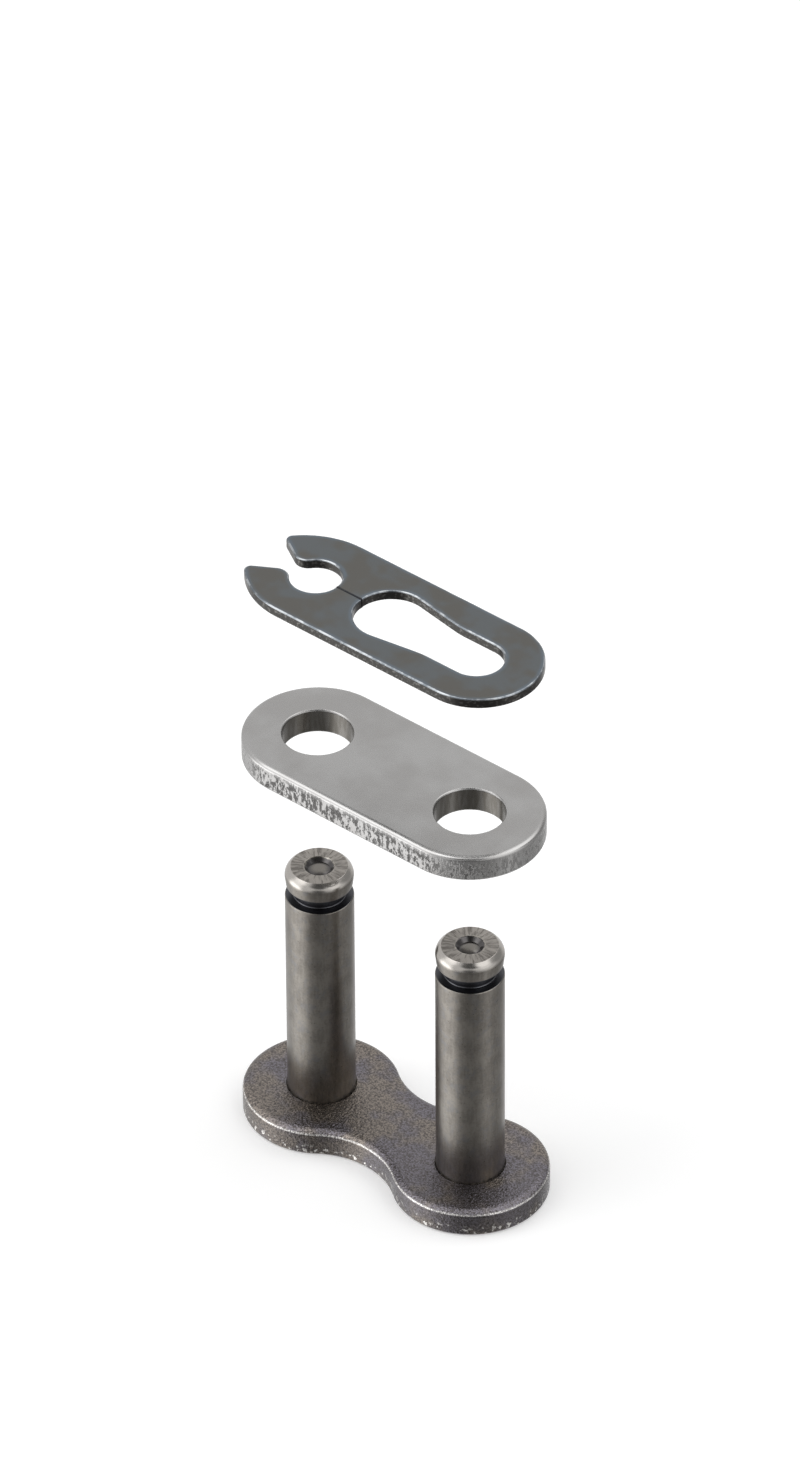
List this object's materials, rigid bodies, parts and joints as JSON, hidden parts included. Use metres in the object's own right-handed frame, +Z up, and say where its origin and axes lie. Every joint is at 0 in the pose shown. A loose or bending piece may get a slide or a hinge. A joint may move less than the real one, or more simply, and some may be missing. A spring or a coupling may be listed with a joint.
{
  "type": "chain connecting link",
  "caption": "Connecting link for a half-inch pitch roller chain, laid apart: waisted plate with pressed pins, straight-sided cover plate and hairpin spring clip.",
  "frame": {"origin": "on the underside of the pin plate, midway between the two pins", "axes": "+X from the left pin to the right pin, +Z up along the pins towards their heads, +Y across the link"},
  "size_m": [0.023, 0.0104, 0.0435],
  "materials": {
    "peened_plate": "dark shot-peened steel",
    "polished_pin": "polished warm grey steel",
    "bright_plate": "bright tumbled steel",
    "tempered_clip": "tempered blue-grey spring steel"
  },
  "bodies": {
    "pin_link": {"pin_plate": "peened_plate", "left_pin": "polished_pin", "right_pin": "polished_pin"},
    "cover": {"cover_plate": "bright_plate"},
    "clip": {"spring_clip": "tempered_clip"}
  },
  "joints": [
    {"name": "cover_slide", "type": "slide", "parent": "pin_link", "child": "cover", "axis": [0, 0, 1], "range_m": [-0.01325, 0]},
    {"name": "clip_slide", "type": "slide", "parent": "cover", "child": "clip", "axis": [0, 0, 1], "range_m": [-0.0117, 0]}
  ]
}
